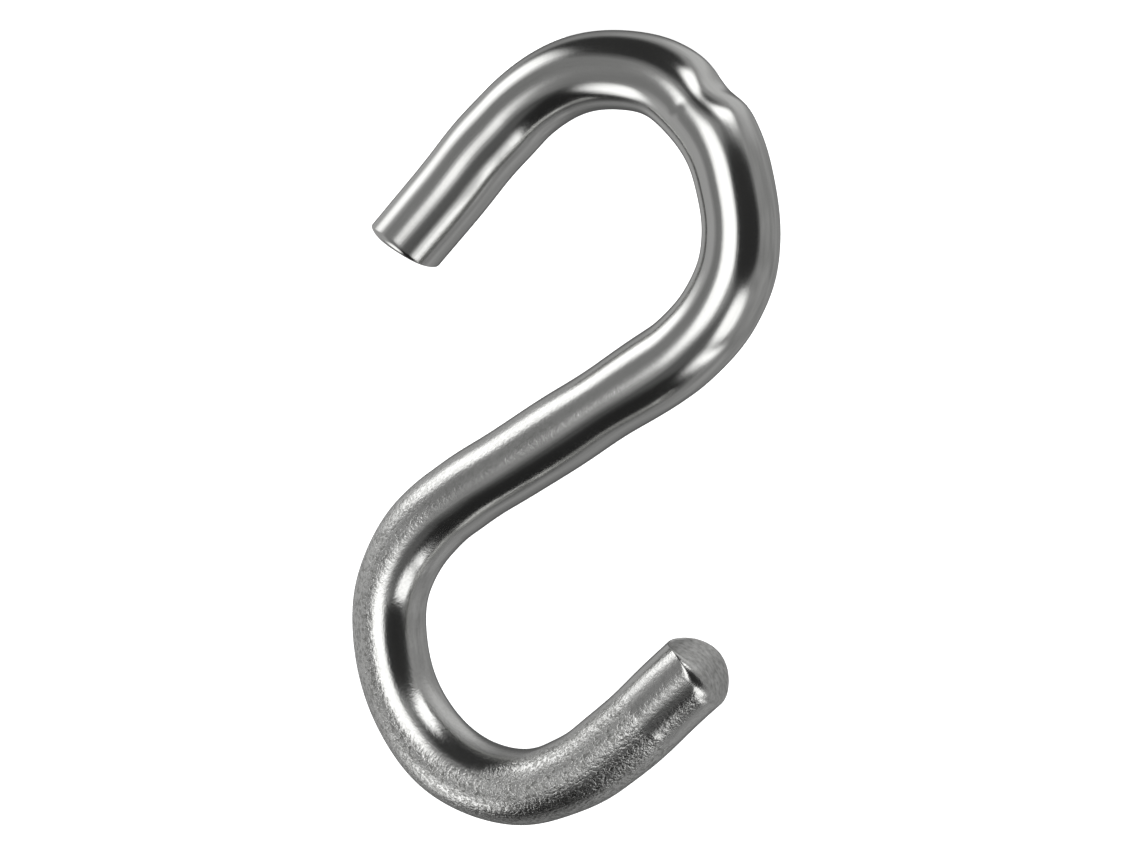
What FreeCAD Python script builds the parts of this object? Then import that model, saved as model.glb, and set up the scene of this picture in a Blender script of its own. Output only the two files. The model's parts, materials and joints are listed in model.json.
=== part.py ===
"""Plain S-shaped meat hook, cold bent from one length of round steel bar.

Millimetres.  The bar's centreline lies in the XZ plane.  +Z points up along the
line of pull, which runs through the centres of both bends.  The origin is the
centre of the upper bend, where a rail of the largest size that fits would sit.
The upper leg ends on the -X side and the lower leg ends on the +X side.
"""
import FreeCAD, Part
import math
import os

# ---------------------------------------------------------------- driving sizes
# Bar
bar_diameter = 8.0

# Upper bend, which hangs on the rail
upper_inner_radius = 11.4
upper_turn = 194.0            # degrees the bar turns through

# Lower bend, which carries the load
lower_inner_radius = 11.4
lower_turn = 191.0            # degrees the bar turns through

# Straight stretches of bar
upper_leg_length = 18.0       # end of the upper bend to the tip
shank_length = 30.0           # between the two bends
lower_leg_length = 15.8       # end of the lower bend to the tip

# Cropped ends: a shallow crown with a rolled rim
upper_crown_height = 0.3
upper_crown_shift = 0.0       # crown's high point, from the bar's axis
upper_rim_radius = 0.4
lower_crown_height = 1.0
lower_crown_shift = 0.8       # towards the mouth of the lower bend
lower_rim_radius = 0.5

# Groove that the bending pin pressed into the outside of the upper bend
groove_angle = 60.0           # degrees above +X, seen from -Y
groove_roll = 25.0            # degrees round the bar, from the outside towards -Y
groove_depth = 0.8
groove_pin_radius = 5.0
groove_shoulder_radius = 1.5  # where the groove runs out into the round of the bar

# ------------------------------------------------------------------ worked out
bar_radius = bar_diameter / 2
upper_bend_radius = upper_inner_radius + bar_radius
lower_bend_radius = lower_inner_radius + bar_radius

# The shank is the inner tangent of the two bend circles, so it leans.
shank_rise = upper_bend_radius + lower_bend_radius
bend_spacing = math.hypot(shank_length, shank_rise)
shank_lean = math.degrees(math.atan2(shank_rise, shank_length))

# Headings in degrees from +X towards +Z, walking from the upper tip to the lower.
# The upper bend turns clockwise and the lower one turns back.
shank_heading = -90 - shank_lean
upper_leg_heading = shank_heading + upper_turn
lower_leg_heading = shank_heading + lower_turn

upper_centre = FreeCAD.Vector(0, 0, 0)
lower_centre = FreeCAD.Vector(0, 0, -bend_spacing)
front = FreeCAD.Vector(0, -1, 0)


def along(heading):
    """Unit vector in the XZ plane, `heading` degrees from +X towards +Z."""
    angle = math.radians(heading)
    return FreeCAD.Vector(math.cos(angle), 0, math.sin(angle))


def round_the_bar(outward, roll):
    """Unit vector `roll` degrees round the bar from `outward` towards the front."""
    angle = math.radians(roll)
    return outward * math.cos(angle) + front * math.sin(angle)


# Where each straight stretch meets its bends
upper_bend_start = upper_centre + along(upper_leg_heading + 90) * upper_bend_radius
upper_bend_end = upper_centre + along(shank_heading + 90) * upper_bend_radius
lower_bend_start = lower_centre + along(shank_heading - 90) * lower_bend_radius
lower_bend_end = lower_centre + along(lower_leg_heading - 90) * lower_bend_radius


def straight(start, heading, length):
    """Round bar from `start`, running `length` along `heading`."""
    return Part.makeCylinder(bar_radius, length, start, along(heading))


def bend(start, heading, centre, turn):
    """Round bar from `start`, turned about `centre`; a positive turn is clockwise."""
    section = Part.Face(Part.Wire(Part.makeCircle(bar_radius, start, along(heading))))
    return section.revolve(centre, FreeCAD.Vector(0, 1, 0), turn)


def ball(radius, centre, facing):
    """Ball with its seam turned away from `facing`, so that side is one smooth face."""
    sphere = Part.makeSphere(radius)
    seam_away = FreeCAD.Rotation(FreeCAD.Vector(1, 0, 0), facing * -1)
    sphere.Placement = FreeCAD.Placement(centre, seam_away)
    return sphere


def rim_edges(leg, outward):
    """Edges round the crowned end, where the crown meets the side of the bar."""
    crown = max(leg.Faces, key=lambda face: face.CenterOfMass.dot(outward))
    return [edge for edge in crown.Edges if not edge.isSeam(crown)]


def cropped_leg(start, heading, length, mouth_side, crown_height, crown_shift, rim_radius):
    """Straight leg from `start` to its cropped tip."""
    outward = along(heading)
    crown_radius = (bar_radius ** 2 + crown_height ** 2) / (2 * crown_height)
    crown_centre = start + outward * (length - crown_radius) + mouth_side * crown_shift
    shaft = straight(start, heading, length - bar_radius)
    blank = straight(start + outward * (length - bar_radius), heading, bar_diameter)
    end = blank.common(ball(crown_radius, crown_centre, outward))
    leg = shaft.fuse(end).removeSplitter()
    return leg.makeFillet(rim_radius, rim_edges(leg, outward))


def pressed_mark(point, tangent, press_from, depth, pin_radius):
    """Round pin lying across the bar, sunk `depth` into the side `press_from` faces."""
    pin_length = 2 * bar_diameter
    pin_axis = tangent.cross(press_from)
    pin_middle = point + press_from * (bar_radius - depth + pin_radius)
    return Part.makeCylinder(pin_radius, pin_length, pin_middle - pin_axis * (pin_length / 2), pin_axis)


def groove_edges(bar):
    """Edges of the face that the bending pin left in the bar."""
    groove = min(bar.Faces, key=lambda face: abs(getattr(face.Surface, "Radius", 0) - groove_pin_radius))
    return [edge for edge in groove.Edges if not edge.isSeam(groove)]


def hook():
    """The whole bar: leg, bend, shank, bend, leg."""
    upper_leg = cropped_leg(upper_bend_start, upper_leg_heading + 180, upper_leg_length,
                            along(upper_leg_heading - 90),
                            upper_crown_height, upper_crown_shift, upper_rim_radius)
    upper_bend = bend(upper_bend_start, upper_leg_heading, upper_centre, upper_turn)
    shank = straight(upper_bend_end, shank_heading, shank_length)
    lower_bend = bend(lower_bend_start, shank_heading, lower_centre, -lower_turn)
    lower_leg = cropped_leg(lower_bend_end, lower_leg_heading, lower_leg_length,
                            along(lower_leg_heading + 90),
                            lower_crown_height, lower_crown_shift, lower_rim_radius)
    bar = upper_leg.fuse([upper_bend, shank, lower_bend, lower_leg]).removeSplitter()

    groove_outward = along(groove_angle)
    groove = pressed_mark(upper_centre + groove_outward * upper_bend_radius,
                          along(groove_angle - 90),
                          round_the_bar(groove_outward, groove_roll),
                          groove_depth, groove_pin_radius)
    bar = bar.cut(groove).removeSplitter()
    return bar.makeFillet(groove_shoulder_radius, groove_edges(bar))


os.makedirs("parts", exist_ok=True)
hook().exportStep("parts/hook.step")
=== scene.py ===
"""Looks for the plain steel S hook: one bent bar with its marks, its steel and a small studio.

Metres and the row's own frame.  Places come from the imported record's mounts and the
CAD node's box; sizes of marks are in millimetres and are turned into metres by MM.
"""

import json
import math

import bpy
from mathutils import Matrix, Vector, noise


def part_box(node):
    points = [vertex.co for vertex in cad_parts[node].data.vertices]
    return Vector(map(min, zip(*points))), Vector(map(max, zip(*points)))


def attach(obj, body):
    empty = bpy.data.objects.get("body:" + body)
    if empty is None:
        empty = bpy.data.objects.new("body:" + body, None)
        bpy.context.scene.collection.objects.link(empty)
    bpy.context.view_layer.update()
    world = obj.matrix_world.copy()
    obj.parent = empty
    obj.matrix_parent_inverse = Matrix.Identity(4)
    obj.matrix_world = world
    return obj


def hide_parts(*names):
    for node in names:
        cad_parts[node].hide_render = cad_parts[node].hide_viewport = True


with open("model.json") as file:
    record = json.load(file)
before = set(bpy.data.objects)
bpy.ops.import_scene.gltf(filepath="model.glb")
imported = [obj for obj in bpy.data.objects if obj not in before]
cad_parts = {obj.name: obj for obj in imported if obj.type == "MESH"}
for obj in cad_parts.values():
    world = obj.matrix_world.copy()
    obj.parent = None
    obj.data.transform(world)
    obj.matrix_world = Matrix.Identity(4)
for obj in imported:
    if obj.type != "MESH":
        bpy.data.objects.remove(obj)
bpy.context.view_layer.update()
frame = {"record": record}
MM = 0.001

# ------------------------------------------------------------------ the bar's route
mounts = {mount["name"]: mount for mount in frame["record"]["mounts"]}
node_low, node_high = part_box("hook")
bar_radius = mounts["upper_leg"]["dims"]["r_mm"] * MM
lower_centre = Vector(mounts["load_seat"]["pos_m"])
upper_centre = Vector(mounts["rail_seat"]["pos_m"])
upper_bend_radius = node_high.z - upper_centre.z - bar_radius
lower_bend_radius = lower_centre.z - node_low.z - bar_radius
bend_spacing = upper_centre.z - lower_centre.z
shank_rise = upper_bend_radius + lower_bend_radius
shank_length = math.sqrt(bend_spacing ** 2 - shank_rise ** 2)


def heading_of(axis):
    """Angle of an axis in the XZ plane, from +X towards +Z."""
    return math.atan2(axis[2], axis[0])


# Headings of the walk from the upper tip to the lower one.  The upper leg is walked against
# its mount's axis, and its heading is brought back to between -180 and 180 degrees.
shank_heading = -math.pi / 2 - math.atan2(shank_rise, shank_length)
upper_leg_heading = heading_of(mounts["upper_leg"]["axis"]) + math.pi
upper_leg_heading = (upper_leg_heading + math.pi) % (2 * math.pi) - math.pi
lower_leg_heading = heading_of(mounts["lower_leg"]["axis"])
upper_turn = upper_leg_heading - shank_heading
lower_turn = lower_leg_heading - shank_heading
upper_leg_length = 18.0 * MM
lower_leg_length = 15.8 * MM


def along(heading):
    """Unit vector in the XZ plane."""
    return Vector((math.cos(heading), 0, math.sin(heading)))


FRONT = Vector((0, -1, 0))
upper_bend_start = upper_centre + along(upper_leg_heading + math.pi / 2) * upper_bend_radius
upper_bend_end = upper_centre + along(shank_heading + math.pi / 2) * upper_bend_radius
lower_bend_end = lower_centre + along(lower_leg_heading - math.pi / 2) * lower_bend_radius

upper_bend_from = upper_leg_length
shank_from = upper_bend_from + upper_bend_radius * upper_turn
lower_bend_from = shank_from + shank_length
lower_leg_from = lower_bend_from + lower_bend_radius * lower_turn
bar_length = lower_leg_from + lower_leg_length


def place(s):
    """Centre of the bar and its heading, `s` metres from the upper tip."""
    if s < upper_bend_from:
        heading = upper_leg_heading
        return upper_bend_start + along(heading) * (s - upper_bend_from), heading
    if s < shank_from:
        heading = upper_leg_heading - (s - upper_bend_from) / upper_bend_radius
        return upper_centre + along(heading + math.pi / 2) * upper_bend_radius, heading
    if s < lower_bend_from:
        return upper_bend_end + along(shank_heading) * (s - shank_from), shank_heading
    if s < lower_leg_from:
        heading = shank_heading + (s - lower_bend_from) / lower_bend_radius
        return lower_centre + along(heading - math.pi / 2) * lower_bend_radius, heading
    return lower_bend_end + along(lower_leg_heading) * (s - lower_leg_from), lower_leg_heading


# -------------------------------------------------------- marks of bending and pressing
# Angle round the bar: 0 is the left of the walk, which is the outside of the upper bend
# and the mouth side of the lower leg; 90 faces -Y; 180 is the right of the walk.
# A bar bent by hand wavers a little: (mm from the upper tip, half length mm, mm to the left)
WAVERS = [
    (13.0, 3.5, 0.20),
    (21.5, 4.0, -0.13),
    (36.5, 3.5, 0.30),
    (50.5, 3.5, -0.25),
    (58.5, 2.5, 0.12),
    (67.0, 3.0, -0.15),
    (96.0, 3.0, -0.12),
    (103.0, 3.5, 0.12),
    (113.0, 3.5, -0.20),
    (132.0, 4.5, -0.12),
    (147.0, 3.5, 0.27),
    (157.0, 4.0, -0.22),
]
# and is squeezed or swollen in the hook's plane: (mm from the tip, half length mm, mm wider)
SQUEEZES = [
    (53.0, 6.0, -0.16),
    (79.0, 4.0, -0.20),
    (93.0, 7.0, -0.10),
    (104.5, 4.0, 0.12),
    (131.0, 5.0, 0.15),
    (145.0, 3.0, -0.10),
]
# Dents and humps: (mm from the upper tip, half length mm, angle, half angle, height mm)
DENTS = [
    (41.7, 1.6, 5, 44, -0.72),      # groove pressed by the bending pin
    (38.6, 1.4, 10, 45, 0.06),      # metal pushed up on its two sides
    (44.6, 1.3, 10, 45, 0.09),
    (41.5, 0.5, 100, 16, -0.05),    # the groove's faint end on the front
    (121.0, 12.0, 124, 30, -0.20),  # flat rubbed on the front of the lower bend
    (159.7, 0.5, 134, 10, 0.04),    # nick and line left by the jaws near the lower end
    (160.1, 0.4, 95, 55, -0.010),
]
BEND_SIDE_RADIUS = 3.9 * MM         # a bend is squeezed a little in its own plane
BEND_EASE = 3.0 * MM                # either side of a bend's ends
UNEVENNESS = 0.012 * MM             # smooth unevenness of the skin
UNEVEN_SHARE = 0.4                  # this share of it on the upper hook,
UNEVEN_EXTRA = 1.2                  # and this much more on the lower one
UNEVEN_PATCH = 2.2 * MM
PATCH_SQUASH = 0.5                  # along the bar, which makes the patches longer
LOWER_HOOK_FROM = 100 * MM
LOWER_HOOK_EASE = 12 * MM
DENT_REACH = 3                      # half lengths past which a dent is nothing


def bell(x):
    """Smooth bump: 1 at 0, falling to 0 by about 2.5."""
    return math.exp(-x * x)


def step(x):
    """Smooth 0 to 1 as x goes from -1 to 1."""
    t = min(max((x + 1) / 2, 0.0), 1.0)
    return t * t * (3 - 2 * t)


def bent(s):
    """How much of a bend's squeezed section the bar has at `s`: 0 straight, 1 bent."""
    upper = step((s - upper_bend_from) / BEND_EASE) * step((shank_from - s) / BEND_EASE)
    lower = step((s - lower_bend_from) / BEND_EASE) * step((lower_leg_from - s) / BEND_EASE)
    return max(upper, lower)


def bells_along(features, s):
    """Sum of smooth bumps along the bar, in metres."""
    return sum(amount * MM * bell((s / MM - at) / half) for at, half, amount in features)


def dents_at(s, angle):
    """Height of the pressed marks at `s`, `angle` radians round the bar."""
    height = 0.0
    for at, half_length, roll, half_angle, amount in DENTS:
        off = (s / MM - at) / half_length
        if abs(off) < DENT_REACH:
            turned = (math.degrees(angle) - roll + 180) % 360 - 180
            height += amount * MM * bell(off) * bell(turned / half_angle)
    return height


def unevenness_at(s, angle):
    """Slow unevenness of the bar's skin."""
    around = Vector((math.cos(angle), math.sin(angle), 0)) * bar_radius
    spot = (around + Vector((0, 0, s))) / UNEVEN_PATCH
    spot.z *= PATCH_SQUASH
    share = UNEVEN_SHARE + UNEVEN_EXTRA * step((s - LOWER_HOOK_FROM) / LOWER_HOOK_EASE)
    return UNEVENNESS * share * noise.noise(spot)


# ------------------------------------------------------------------------ cropped ends
# On the section's unit disc, u points to the left of the walk and v to the front.  The
# numbers in the next four functions are millimetres, or degrees round the bar in a bell.
def upper_crop(u, v):
    """Height of the upper end's slanting face over the section's unit disc, in metres."""
    slant = 0.43 + 0.85 * u - 0.07 * v
    crown = 0.15 * (1 - u * u - v * v)
    ragged = 0.06 * math.sin(5 * u + 1) * max(v, 0)
    return (slant + crown + ragged) * MM


def upper_rim(angle):
    """Width and depth of the upper end's rim, which is rolled over at the front."""
    rolled = bell((math.degrees(angle) - 95) / 42)
    return (0.12 + 0.75 * rolled) * MM, (0.10 + 1.05 * rolled) * MM


def lower_crop(u, v):
    """Height of the lower end's face over the section's unit disc, in metres."""
    slant = 1.5 - 0.05 * u + 0.2 * v
    return (slant - 1.55 * u * u - 0.1 * v * v - 0.7 * u * v) * MM


def lower_rim(angle):
    """Width and depth of the lower end's rim, rolled at the front and away from the mouth."""
    turned = math.degrees(angle)
    width = 0.10 + 1.20 * bell((turned - 112) / 55)
    depth = 0.10 + 1.75 * bell((turned - 140) / 48)
    return width * MM, depth * MM


LOWER_CROWN = 1.03 * MM             # the CAD bar's end above the lower crop's zero
AROUND = 112                        # points in each ring
FACE_RINGS = 12
RIM_RINGS = 12
COLLAR = 3.2 * MM                   # side of the bar that eases from the rim to even rings
COLLAR_RINGS = 10
SIDE_STEP = 0.2 * MM


def end_rings(crop, rim, tip):
    """Rings of one end, centre first.

    Each is how much it belongs to the cut face and, per angle, (distance from the end of
    the CAD bar, which is `tip` above the crop's zero, and share of the bar's radius).
    """
    rings = []
    for k in range(1, FACE_RINGS + 1):
        ring = []
        for j in range(AROUND):
            angle = 2 * math.pi * j / AROUND
            width = rim(angle)[0]
            share = (1 - width / bar_radius) * k / FACE_RINGS
            ring.append((tip - crop(share * math.cos(angle), share * math.sin(angle)), share))
        rings.append((1.0, ring))
    for k in range(1, RIM_RINGS + 1):
        ring = []
        swing = math.pi / 2 * k / RIM_RINGS
        for j in range(AROUND):
            angle = 2 * math.pi * j / AROUND
            width, depth = rim(angle)
            inner = 1 - width / bar_radius
            share = inner + (1 - inner) * math.sin(swing)
            drop = tip - crop(inner * math.cos(angle), inner * math.sin(angle))
            ring.append((drop + depth * (1 - math.cos(swing)), share))
        on_cut = max(1 - 2 * k / RIM_RINGS, 0.0)
        rings.append((on_cut, ring))
    last = rings[-1][1]
    for k in range(1, COLLAR_RINGS + 1):
        part = k / COLLAR_RINGS
        rings.append((0.0, [(drop + (COLLAR - drop) * part, 1.0) for drop, share in last]))
    return rings


def bar_point(s, angle, share):
    """Point of the bar in the row's frame, and the same point with the bar laid straight."""
    centre, heading = place(s)
    left = along(heading + math.pi / 2)
    half_width = bar_radius + (BEND_SIDE_RADIUS - bar_radius) * bent(s)
    half_width += bells_along(SQUEEZES, s)
    radius = 1 / math.hypot(math.cos(angle) / half_width, math.sin(angle) / bar_radius)
    radius += dents_at(s, angle) + unevenness_at(s, angle)
    across = radius * share * math.cos(angle)
    ahead = radius * share * math.sin(angle)
    point = centre + left * (across + bells_along(WAVERS, s)) + FRONT * ahead
    return point, (across, ahead, s)


def make_hook():
    """Closed mesh of the whole bar, end to end."""
    points = []
    laid_out = []
    cut = []

    def add_point(s, angle, share, on_cut):
        point, laid = bar_point(s, angle, share)
        points.append(point)
        laid_out.extend(laid)
        cut.append(on_cut)

    def add_ring(ring, on_cut):
        for j, (s, share) in enumerate(ring):
            add_point(s, 2 * math.pi * j / AROUND, share, on_cut)

    side_count = round((bar_length - 2 * COLLAR) / SIDE_STEP)

    add_point(-upper_crop(0, 0), 0, 0, 1.0)
    for on_cut, ring in end_rings(upper_crop, upper_rim, 0.0):
        add_ring(ring, on_cut)
    for k in range(1, side_count):
        s = COLLAR + (bar_length - 2 * COLLAR) * k / side_count
        add_ring([(s, 1.0)] * AROUND, 0.0)
    for on_cut, ring in reversed(end_rings(lower_crop, lower_rim, LOWER_CROWN)):
        add_ring([(bar_length - drop, share) for drop, share in ring], on_cut)
    add_point(bar_length - LOWER_CROWN + lower_crop(0, 0), 0, 0, 1.0)

    ring_count = (len(points) - 2) // AROUND
    faces = [(0, 1 + (j + 1) % AROUND, 1 + j) for j in range(AROUND)]
    for k in range(ring_count - 1):
        here = 1 + k * AROUND
        there = here + AROUND
        for j in range(AROUND):
            after = (j + 1) % AROUND
            faces.append((here + j, here + after, there + after, there + j))
    last = len(points) - 1
    here = 1 + (ring_count - 1) * AROUND
    faces += [(last, here + j, here + (j + 1) % AROUND) for j in range(AROUND)]

    mesh = bpy.data.meshes.new("bent_bar")
    mesh.from_pydata(points, [], faces)
    mesh.attributes.new("laid_bar", "FLOAT_VECTOR", "POINT").data.foreach_set("vector", laid_out)
    mesh.attributes.new("cut_face", "FLOAT", "POINT").data.foreach_set("value", cut)
    mesh.shade_smooth()
    mesh.update()
    hook = bpy.data.objects.new("bent_bar", mesh)
    bpy.context.scene.collection.objects.link(hook)
    return hook


# ---------------------------------------------------------------------------- material
class Nodes:
    """Short calls for building a node tree, which is emptied first.

    A Mix node's sockets go by number: 0 is its factor, 2 and 3 its plain ends, 6 and 7 its
    coloured ends.
    """

    def __init__(self, tree):
        self.tree = tree
        tree.nodes.clear()

    def add(self, kind, settings=None, **inputs):
        node = self.tree.nodes.new(kind)
        for name, value in (settings or {}).items():
            setattr(node, name, value)
        for name, value in inputs.items():
            self.feed(node, name.replace("_", " "), value)
        return node

    def feed(self, node, name, value):
        socket = node.inputs[int(name)] if name.isdigit() else node.inputs[name]
        if isinstance(value, bpy.types.NodeSocket):
            self.tree.links.new(value, socket)
        else:
            socket.default_value = value

    def math(self, operation, *values):
        node = self.tree.nodes.new("ShaderNodeMath")
        node.operation = operation
        for k, value in enumerate(values):
            self.feed(node, str(k), value)
        return node.outputs[0]

    def ramp(self, value, low, high, to_low=0.0, to_high=1.0):
        node = self.add("ShaderNodeMapRange", {"interpolation_type": "SMOOTHSTEP"}, Value=value)
        node.inputs["From Min"].default_value = low
        node.inputs["From Max"].default_value = high
        node.inputs["To Min"].default_value = to_low
        node.inputs["To Max"].default_value = to_high
        return node.outputs["Result"]


# Strength of the pitted skin along the bar: (from metre, to metre, before, after).  There is
# a little on the shank and most on the lower hook, and the jaws' grip has worn it down.
PITTED_SHANK = (0.066, 0.092, 0.0, 0.20)
PITTED_HOOK = (0.096, 0.110, 0.0, 0.80)
PITTED_GRIP = (0.1594, 0.1610, 1.0, 0.25)
# The mouth side stays smooth from an edge, in metres left of the bar's middle, which moves
# along the lower bend: (from metre, to metre, edge before, edge after).  Past the edge the
# pitting fades: (from, to, before, after).
SMOOTH_EDGE = (0.130, 0.146, 0.0004, 0.0028)
SMOOTH_FADE = (0.0, 0.0016, 1.0, 0.12)
RAGGED_ALONG = 0.0016               # metres that noise moves these limits
RAGGED_ACROSS = 0.0012
PIT_EDGE = (0.36, 0.56, 1.0, 0.0)   # a pit where the noise is below the first, none above
PEPPER_EDGE = (0.30, 0.62)          # no pepper where the grain is below the first

# Relief, in shares of the bump's distance
BUMP_DISTANCE = 0.00001
COARSE_RELIEF = 0.7
SMOOTH_RELIEF = 0.18
PITTED_RELIEF = 3.2
PIT_RELIEF = 2.2
LINE_RELIEF = 0.70
FINE_LINE_RELIEF = 0.25
TORN_RELIEF = 2.5

# Tone between the steel's dark and light
STEEL_DARK = (0.30, 0.30, 0.285, 1)
STEEL_LIGHT = (0.84, 0.84, 0.825, 1)
STEEL_TONE = 0.52
PITTED_TONE = 0.25
PATCH_TONE = 0.35
LINE_TONE = 0.20
PIT_TONE = -0.60
PEPPER_TONE = -0.12
CUT_TONE = 0.60
CUT_MOTTLE = -1.4

STEEL_ROUGHNESS = 0.135
GRAIN_ROUGHNESS = 0.06
PITTED_ROUGHNESS = 0.11
CUT_ROUGHNESS = 0.16


def steel_material():
    """Bright steel with drawing lines, a pitted skin on the lower hook and dull cut ends."""
    material = bpy.data.materials.new("bright_steel")
    material.use_nodes = True
    n = Nodes(material.node_tree)
    laid = n.add("ShaderNodeAttribute", {"attribute_name": "laid_bar"}).outputs["Vector"]
    cut = n.add("ShaderNodeAttribute", {"attribute_name": "cut_face"}).outputs["Fac"]
    split = n.add("ShaderNodeSeparateXYZ", Vector=laid)
    laid_across, along_bar = split.outputs["X"], split.outputs["Z"]

    def stretched(stretch):
        """The laid-out bar, scaled along its length: below 1 draws the noise out."""
        node = n.add("ShaderNodeVectorMath", {"operation": "MULTIPLY"})
        n.feed(node, "0", laid)
        node.inputs[1].default_value = (1, 1, stretch)
        return node.outputs[0]

    def cloud(scale, stretch, detail, roughness=0.5):
        """Noise over the laid-out bar, `scale` patches to the metre."""
        return n.add("ShaderNodeTexNoise", Vector=stretched(stretch), Scale=scale,
                     Detail=detail, Roughness=roughness).outputs["Fac"]

    # how strongly the skin is pitted
    ragged = n.math("MULTIPLY_ADD", cloud(700, 1.0, 2.0), RAGGED_ALONG, along_bar)
    on_shank = n.ramp(ragged, *PITTED_SHANK)
    on_hook = n.ramp(ragged, *PITTED_HOOK)
    before_grip = n.ramp(ragged, *PITTED_GRIP)
    smooth_edge = n.ramp(along_bar, *SMOOTH_EDGE)
    beyond = n.math("MULTIPLY_ADD", cloud(900, 1.0, 2.0), RAGGED_ACROSS, laid_across)
    facing_out = n.ramp(n.math("SUBTRACT", beyond, smooth_edge), *SMOOTH_FADE)
    pitted = n.math("MULTIPLY", n.math("ADD", on_shank, on_hook), before_grip)
    pitted = n.math("MULTIPLY", pitted, facing_out)

    grain = cloud(4400, 1.0, 1.0, 0.6)
    coarse = cloud(1700, 1.0, 1.0)
    lines = cloud(1900, 0.02, 2.0)
    fine_lines = cloud(5200, 0.015, 1.0)
    patches = cloud(170, 0.5, 3.0)
    tears = cloud(1300, 1.0, 4.0, 0.65)
    pit = n.math("MULTIPLY", n.ramp(cloud(2900, 0.8, 3.0), *PIT_EDGE), pitted)
    pepper = n.math("MULTIPLY", n.ramp(grain, *PEPPER_EDGE), pitted)

    skin = n.math("MULTIPLY_ADD", coarse, COARSE_RELIEF, grain)
    strength = n.math("MULTIPLY_ADD", pitted, PITTED_RELIEF, SMOOTH_RELIEF)
    skin = n.math("MULTIPLY", skin, strength)
    drawn = n.math("MULTIPLY_ADD", fine_lines, FINE_LINE_RELIEF, lines)
    drawn = n.math("MULTIPLY", drawn, LINE_RELIEF)
    torn = n.math("MULTIPLY", tears, n.math("MULTIPLY", cut, TORN_RELIEF))
    relief = n.math("ADD", n.math("ADD", skin, drawn), torn)
    relief = n.math("SUBTRACT", relief, n.math("MULTIPLY", pit, PIT_RELIEF))
    bump = n.add("ShaderNodeBump", Height=relief)
    bump.inputs["Strength"].default_value = 1.0
    bump.inputs["Distance"].default_value = BUMP_DISTANCE

    tone = n.math("MULTIPLY_ADD", patches, PATCH_TONE, n.math("MULTIPLY", lines, LINE_TONE))
    tone = n.math("MULTIPLY_ADD", pit, PIT_TONE, tone)
    tone = n.math("MULTIPLY_ADD", pepper, PEPPER_TONE, tone)
    mottle = n.math("MULTIPLY_ADD", coarse, CUT_MOTTLE, CUT_TONE)
    tone = n.math("MULTIPLY_ADD", cut, mottle, tone)
    tone = n.math("ADD", tone, STEEL_TONE)
    colour = n.add("ShaderNodeMix", {"data_type": "RGBA"})
    n.feed(colour, "0", n.math("MULTIPLY_ADD", pitted, PITTED_TONE, tone))
    colour.inputs[6].default_value = STEEL_DARK
    colour.inputs[7].default_value = STEEL_LIGHT

    rough = n.math("MULTIPLY", pitted, PITTED_ROUGHNESS)
    rough = n.math("MULTIPLY_ADD", grain, GRAIN_ROUGHNESS, rough)
    rough = n.math("MULTIPLY_ADD", cut, CUT_ROUGHNESS, rough)
    shader = n.add("ShaderNodeBsdfPrincipled", Base_Color=colour.outputs[2],
                   Roughness=n.math("ADD", rough, STEEL_ROUGHNESS), Normal=bump.outputs[0])
    shader.inputs["Metallic"].default_value = 1.0
    n.add("ShaderNodeOutputMaterial", Surface=shader.outputs[0])
    return material


# ------------------------------------------------------------------------ studio, camera
CAMERA_LENS = 85.0
CAMERA_SENSOR = 36.0
CAMERA_AZIMUTH = 29.76
CAMERA_ELEVATION = 10.07
CAMERA_ROLL = 12.44                 # the hook hangs askew in the frame by this much
CAMERA_DISTANCE = 0.2701
CAMERA_AIM = Vector((0.00118, 0, -0.02046))
CAMERA_NEAR = 0.01


def camera_axes():
    """Right, up and back of the camera in the row's frame."""
    azimuth, elevation, roll = map(math.radians, (CAMERA_AZIMUTH, CAMERA_ELEVATION, CAMERA_ROLL))
    back = Vector((math.sin(azimuth) * math.cos(elevation),
                   -math.cos(azimuth) * math.cos(elevation), math.sin(elevation)))
    level = Vector((0, 0, 1)).cross(back).normalized()
    upright = back.cross(level)
    right = level * math.cos(roll) + upright * math.sin(roll)
    return right, back.cross(right), back


def make_camera():
    """Camera at the photo's viewing angle."""
    right, up, back = camera_axes()
    data = bpy.data.cameras.new("camera")
    data.lens = CAMERA_LENS
    data.sensor_width = CAMERA_SENSOR
    data.clip_start = CAMERA_NEAR
    camera = bpy.data.objects.new("camera", data)
    bpy.context.scene.collection.objects.link(camera)
    matrix = camera.matrix_world.to_3x3()
    matrix.col[0], matrix.col[1], matrix.col[2] = right, up, back
    camera.matrix_world = matrix.to_4x4()
    camera.location = CAMERA_AIM + back * CAMERA_DISTANCE
    bpy.context.scene.camera = camera


# The tent round the hook: (name, degrees right of the front, degrees up, half width,
# half height, turn, soft edge, brightness).  A later card covers an earlier one.
TENT_GREY = 0.37
CARDS = [
    ("right_glow", 132, 50, 34, 18, 0, 20, 0.70),
    ("dark_behind", 180, 0, 22, 44, 0, 24, 0.14),
    ("left_side", -120, 2, 41, 38, 0, 16, 0.50),
    ("left_dim", -68, 4, 15, 40, 0, 16, 0.27),
    ("dark_above", -60, 66, 46, 32, 0, 18, 0.04),
    ("dark_below", -50, -72, 60, 33, 0, 28, 0.025),
    ("low_dim", -18, -46, 17, 10, 0, 9, 0.14),
    ("dark_right", 24, 1, 35, 31, 0, 14, 0.035),
    ("window_left", -32, -2, 21, 24, -8, 11, 1.9),
    ("window_above", 27, 51, 20, 12, 0, 10, 1.9),
    ("window_below", 32, -46, 18, 13, 0, 10, 1.8),
    ("strip_below", 44, -68, 18, 4, 0, 6, 2.1),
    ("window_back_high", -103, 32, 17, 14, -12, 14, 1.9),
    ("window_back_low", -98, -40, 16, 12, -10, 12, 1.9),
]
CARD_CORNER = 2.6                   # 2 makes a card an ellipse, more squares it
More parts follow.
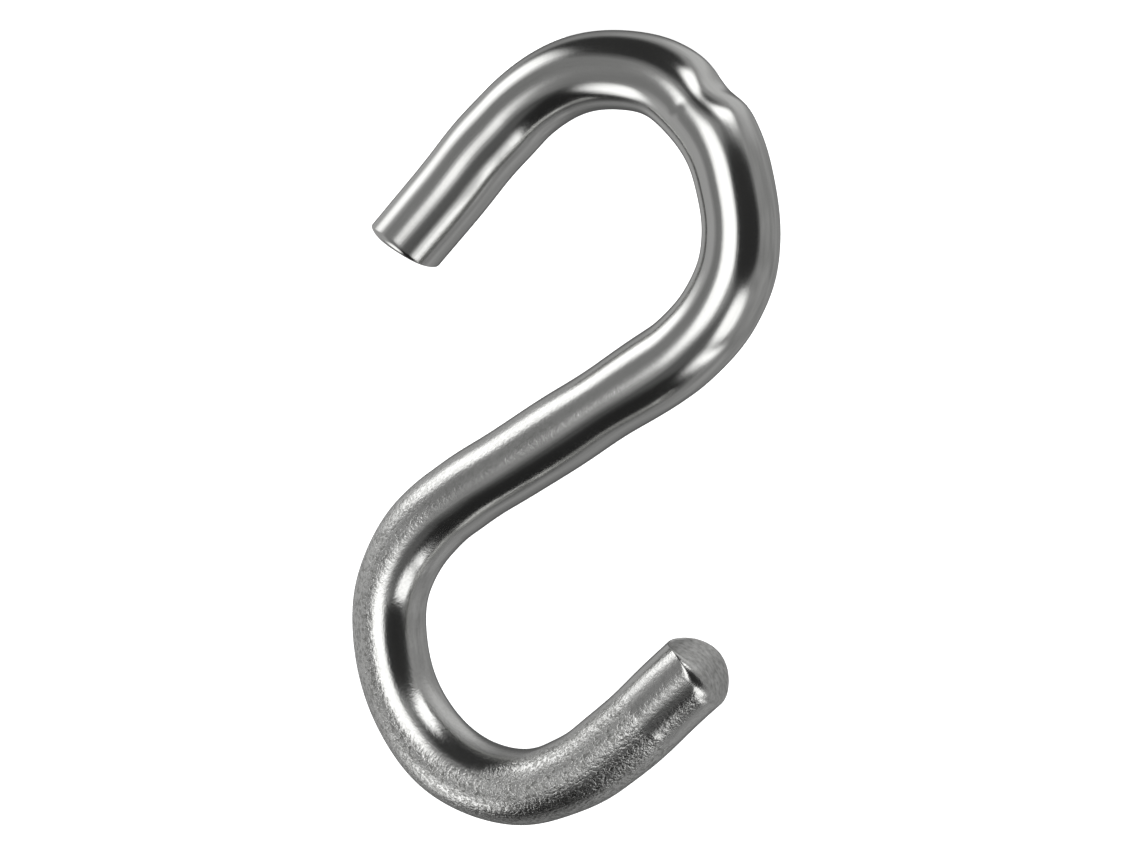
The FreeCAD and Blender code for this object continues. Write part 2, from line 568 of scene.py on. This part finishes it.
TENT_FOLDS = 4.0                    # size and depth of the tent's soft folds
FOLD_DEPTH = 1.3
FOLD_DETAIL = 3.0
CARD_HALF_FROM = 0.0                # a card covers only its own half of the tent, and
CARD_HALF_TO = 0.05                 # fades in over this cosine from the half's edge
LEAST_AHEAD = 0.001                 # keeps the division that places a card away from zero
BACKDROP_WHITE = 1.3


def make_studio():
    """World light: a grey tent with bright and dark cards, and white for the camera alone."""
    right, up, back = camera_axes()
    world = bpy.data.worlds.new("studio")
    bpy.context.scene.world = world
    world.use_nodes = True
    n = Nodes(world.node_tree)
    look = n.add("ShaderNodeTexCoord").outputs["Generated"]

    def dot(vector):
        """Cosine between a ray's direction and `vector`."""
        node = n.add("ShaderNodeVectorMath", {"operation": "DOT_PRODUCT"})
        n.feed(node, "0", look)
        node.inputs[1].default_value = vector
        return node.outputs["Value"]

    folds = n.add("ShaderNodeTexNoise", Vector=look, Scale=TENT_FOLDS, Detail=FOLD_DETAIL)
    folds = n.math("MULTIPLY_ADD", folds.outputs["Fac"], FOLD_DEPTH, 1 - FOLD_DEPTH / 2)
    light = n.math("MULTIPLY", folds, TENT_GREY)
    for name, across, above, half_width, half_height, turn, edge, brightness in CARDS:
        lon, lat, roll = math.radians(across), math.radians(above), math.radians(turn)
        level = right * math.sin(lon) + back * math.cos(lon)
        middle = level * math.cos(lat) + up * math.sin(lat)
        side = right * math.cos(lon) - back * math.sin(lon)
        head = middle.cross(side)
        long_way = side * math.cos(roll) + head * math.sin(roll)
        short_way = head * math.cos(roll) - side * math.sin(roll)
        ahead = n.math("MAXIMUM", dot(middle), LEAST_AHEAD)
        reach = []
        for vector, half in ((long_way, half_width), (short_way, half_height)):
            offset = n.math("ARCTANGENT", n.math("DIVIDE", dot(vector), ahead))
            share = n.math("DIVIDE", n.math("ABSOLUTE", offset), math.radians(half))
            reach.append(n.math("POWER", share, CARD_CORNER))
        out = n.math("POWER", n.math("ADD", *reach), 1 / CARD_CORNER)
        soft = edge / 2 / min(half_width, half_height)
        inside = n.ramp(out, 1 - soft, 1 + soft, 1.0, 0.0)
        this_half = n.ramp(dot(middle), CARD_HALF_FROM, CARD_HALF_TO)
        card = n.add("ShaderNodeMix", {"data_type": "FLOAT", "label": name})
        n.feed(card, "0", n.math("MULTIPLY", inside, this_half))
        n.feed(card, "2", light)
        n.feed(card, "3", brightness)
        light = card.outputs[0]

    seen = n.add("ShaderNodeLightPath").outputs["Is Camera Ray"]
    shown = n.add("ShaderNodeMix", {"data_type": "FLOAT"})
    n.feed(shown, "0", seen)
    n.feed(shown, "2", light)
    n.feed(shown, "3", BACKDROP_WHITE)
    background = n.add("ShaderNodeBackground", Strength=shown.outputs[0])
    n.add("ShaderNodeOutputWorld", Surface=background.outputs[0])


FLOOR_GAP = 45 * MM                 # the hook hangs this far above the floor
FLOOR_SIZE = 6.0
FLOOR_COLOUR = (0.9, 0.9, 0.9, 1)
LAMP_STRENGTH = 4.0
LAMP_SPREAD = 60                    # degrees


def make_floor():
    """Plain pale floor, with a lamp that lights it and leaves no glint in the steel."""
    half = FLOOR_SIZE / 2
    level = node_low.z - FLOOR_GAP
    flat = [(-half, -half), (half, -half), (half, half), (-half, half)]
    mesh = bpy.data.meshes.new("floor")
    mesh.from_pydata([(x, y, level) for x, y in flat], [], [(0, 1, 2, 3)])
    floor = bpy.data.objects.new("floor", mesh)
    bpy.context.scene.collection.objects.link(floor)
    material = bpy.data.materials.new("pale_floor")
    material.use_nodes = True
    n = Nodes(material.node_tree)
    shader = n.add("ShaderNodeBsdfDiffuse")
    shader.inputs["Color"].default_value = FLOOR_COLOUR
    n.add("ShaderNodeOutputMaterial", Surface=shader.outputs[0])
    mesh.materials.append(material)
    floor.visible_glossy = False

    data = bpy.data.lights.new("floor_lamp", "SUN")
    data.energy = LAMP_STRENGTH
    data.angle = math.radians(LAMP_SPREAD)
    lamp = bpy.data.objects.new("floor_lamp", data)
    lamp.visible_glossy = False
    bpy.context.scene.collection.objects.link(lamp)


hook = make_hook()
hook.data.materials.append(steel_material())
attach(hook, "root")
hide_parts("hook")
make_camera()
make_studio()
make_floor()
bpy.context.scene.view_settings.view_transform = "Standard"
